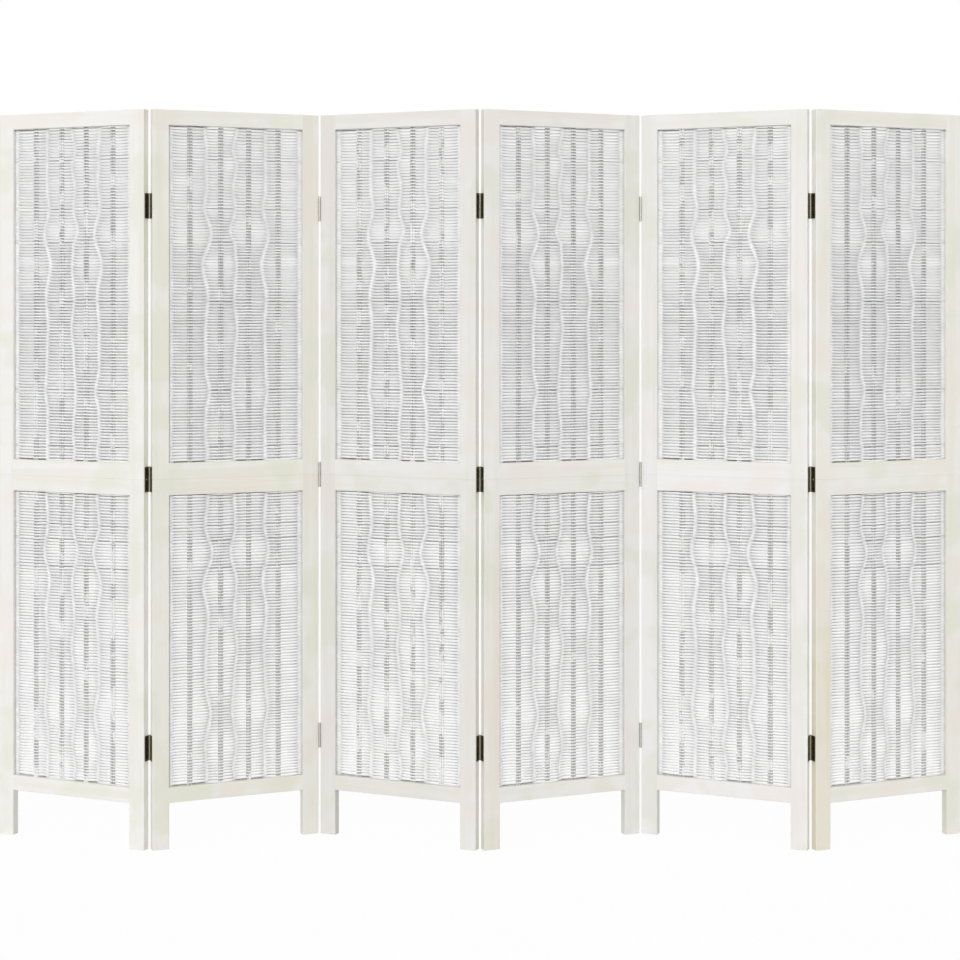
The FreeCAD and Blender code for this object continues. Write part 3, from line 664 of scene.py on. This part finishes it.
def metal(name, tarnish, near, far, rubbed_and_highlit_colour, roughness):
    """A tarnished metal, rubbed bright on its edges, with a painted highlight and wear on the barrels, and
    tones for the near and the far joints that are painted shade and painted reflection.
    """
    material, tree, shader = new_material(name)
    coordinates = add(tree, "ShaderNodeTexCoord").outputs["Object"]
    age = add(tree, "ShaderNodeGroup", node_tree=tarnish)
    tree.links.new(coordinates, age.inputs["Vector"])
    place = add(tree, "ShaderNodeSeparateXYZ", {"Vector": coordinates}).outputs
    # Painted light: the far joints get the lighter tones, and the near ones, deep in the gaps, the darker
    # ones
    lit_at_far_joint = remap(tree, place["Y"], -FAR_JOINT_DEPTH, FAR_JOINT_DEPTH, smooth=True)
    # Painted highlight and wear on the barrels of the near joints
    across = calc(tree, "WRAP", place["X"], RIDGE_SPACING / 2, -RIDGE_SPACING / 2)
    from_axis = calc(tree, "ABSOLUTE", across)
    barrel_highlight_and_wear = remap(tree, from_axis, BARREL_RADIUS, 0.6 * BARREL_RADIUS, smooth=True)
    light = blend_colours(tree, lit_at_far_joint, near[0], far[0])
    dark = blend_colours(tree, lit_at_far_joint, near[1], far[1])
    colour = blend_colours(tree, age.outputs["Tarnish"], light, dark)
    # Rubbed edges, and the barrels' painted highlight and wear
    rubbed = calc(tree, "MAXIMUM", age.outputs["Rubbed"], calc(tree, "MULTIPLY", barrel_highlight_and_wear, BARREL_HIGHLIGHT_AND_WEAR))
    colour = blend_colours(tree, rubbed, colour, rubbed_and_highlit_colour)
    tree.links.new(colour, shader.inputs["Base Color"])
    shader.inputs["Metallic"].default_value = METALLIC
    tree.links.new(remap(tree, age.outputs["Tarnish"], 0, 1, roughness - 0.1, roughness + 0.1),
                   shader.inputs["Roughness"])
    bump = add(tree, "ShaderNodeBump", {"Strength": 0.2, "Distance": 0.1 * MM,
                                        "Height": age.outputs["Relief"]})
    tree.links.new(bump.outputs[0], shader.inputs["Normal"])
    return material


def finish_frames():
    """Gives every solid that stays in sight its finish."""
    grain = grain_group()
    tarnish = tarnish_group()
    bronze = metal("antique bronze", tarnish, BRONZE_SHADED_NEAR, BRONZE_LIT_FAR, BRONZE_RUBBED_AND_HIGHLIT, BRONZE_ROUGHNESS)
    dark_steel = metal("dark screws", tarnish, SCREW_TONES, SCREW_TONES, SCREW_RUBBED, SCREW_ROUGHNESS)
    upright_streak = (STREAK_WIDTH, STREAK_WIDTH, STREAK_LENGTH)
    level_streak = (STREAK_LENGTH, STREAK_WIDTH, STREAK_WIDTH)
    for panel, tone, warmth in zip(PANELS, PANEL_TONES, PANEL_WARMTHS):
        turn = panel_turn(panel)
        near_paint = painted_wood(f"ivory paint near stile {panel}", grain, turn, upright_streak, tone,
                                  warmth, STAINS.get(panel, 0.0))
        # Painted shade: the far stiles of the inner panels stand in the valleys
        far_tone = tone if panel in (PANELS[0], PANELS[-1]) else tone * VALLEY_PAINTED_SHADE
        far_paint = painted_wood(f"ivory paint far stile {panel}", grain, turn, upright_streak, far_tone,
                                 warmth)
        level_paint = painted_wood(f"ivory paint rails {panel}", grain, turn, level_streak, tone, warmth)
        rods_painted = ODD_RODS_PAINTED if panel % 2 else EVEN_RODS_PAINTED
        rods = stake_wood(f"stake wood {panel}", grain, turn, rods_painted)
        near_stiles, far_stiles = ("right", "left") if panel % 2 else ("left", "right")
        finishes = {f"{near_stiles}_stiles": near_paint, f"{far_stiles}_stiles": far_paint,
                    "top_rail": level_paint, "middle_rails": level_paint, "bottom_rail": level_paint,
                    "dowels": rods, "hinges": bronze, "hinge_screws": dark_steel}
        for part, finish in finishes.items():
            frame["nodes"][f"panel_{panel}_{part}"].material_slots[0].material = finish


# Studio

def white_to_the_eye(tree, seen, lit):
    """A shader that is one thing to the camera and to reflections, and another to the light."""
    path = add(tree, "ShaderNodeLightPath").outputs
    sight = calc(tree, "ADD", path["Is Camera Ray"], path["Is Glossy Ray"], clamp=True)
    sight = calc(tree, "ADD", sight, path["Is Transmission Ray"], clamp=True)
    return add(tree, "ShaderNodeMixShader", {0: sight, 1: lit, 2: seen}).outputs[0]


def studio():
    """A white room, brighter on the left, with a key light and a pale floor that keeps a faint shadow."""
    world = bpy.data.worlds.new("white studio")
    bpy.context.scene.world = world
    world.use_nodes = True
    tree = world.node_tree
    tree.nodes.clear()
    direction = add(tree, "ShaderNodeTexCoord").outputs["Generated"]
    across = add(tree, "ShaderNodeSeparateXYZ", {"Vector": direction}).outputs["X"]
    strength = remap(tree, across, -1, 1, ROOM_LIGHT_LEFT, ROOM_LIGHT_RIGHT)
    lit = add(tree, "ShaderNodeBackground", {"Color": WHITE, "Strength": strength}).outputs[0]
    seen = add(tree, "ShaderNodeBackground", {"Color": WHITE, "Strength": 1.0}).outputs[0]
    add(tree, "ShaderNodeOutputWorld", {"Surface": white_to_the_eye(tree, seen, lit)})

    floor_mesh = bpy.data.meshes.new("floor")
    reach = FLOOR_REACH
    floor_mesh.from_pydata([(-reach, -reach, 0), (reach, -reach, 0), (reach, reach, 0), (-reach, reach, 0)],
                           [], [(0, 1, 2, 3)])
    floor = bpy.data.objects.new("floor", floor_mesh)
    bpy.context.scene.collection.objects.link(floor)
    material = bpy.data.materials.new("pale floor")
    material.use_nodes = True
    tree = material.node_tree
    tree.nodes.clear()
    matt = add(tree, "ShaderNodeBsdfDiffuse", {"Color": FLOOR_COLOUR}).outputs[0]
    glow = add(tree, "ShaderNodeEmission", {"Color": WHITE, "Strength": 1.0}).outputs[0]
    seen = add(tree, "ShaderNodeMixShader", {0: FLOOR_GLOW, 1: matt, 2: glow}).outputs[0]
    add(tree, "ShaderNodeOutputMaterial", {"Surface": white_to_the_eye(tree, seen, matt)})
    floor_mesh.materials.append(material)

    lamp = bpy.data.lights.new("key light", "SUN")
    lamp.energy = KEY_LIGHT
    lamp.angle = KEY_LIGHT_SIZE
    key = bpy.data.objects.new("key light", lamp)
    key.rotation_euler = KEY_LIGHT_AIM.to_track_quat("-Z", "Y").to_euler()
    bpy.context.scene.collection.objects.link(key)


def camera():
    """The photograph's view: level, from in front of the middle, with the picture shifted down."""
    data = bpy.data.cameras.new("camera")
    data.lens = FOCAL_LENGTH
    data.sensor_width = SENSOR_WIDTH
    data.shift_y = VIEW_SHIFT
    data.clip_end = VIEW_DEPTH
    eye = bpy.data.objects.new("camera", data)
    eye.location = (0, -CAMERA_DISTANCE, CAMERA_HEIGHT)
    eye.rotation_euler = (math.radians(90), 0, 0)
    bpy.context.scene.collection.objects.link(eye)
    bpy.context.scene.camera = eye


bpy.context.scene.view_settings.view_transform = "Standard"
hang_mats(white_wicker())
finish_frames()
studio()
camera()
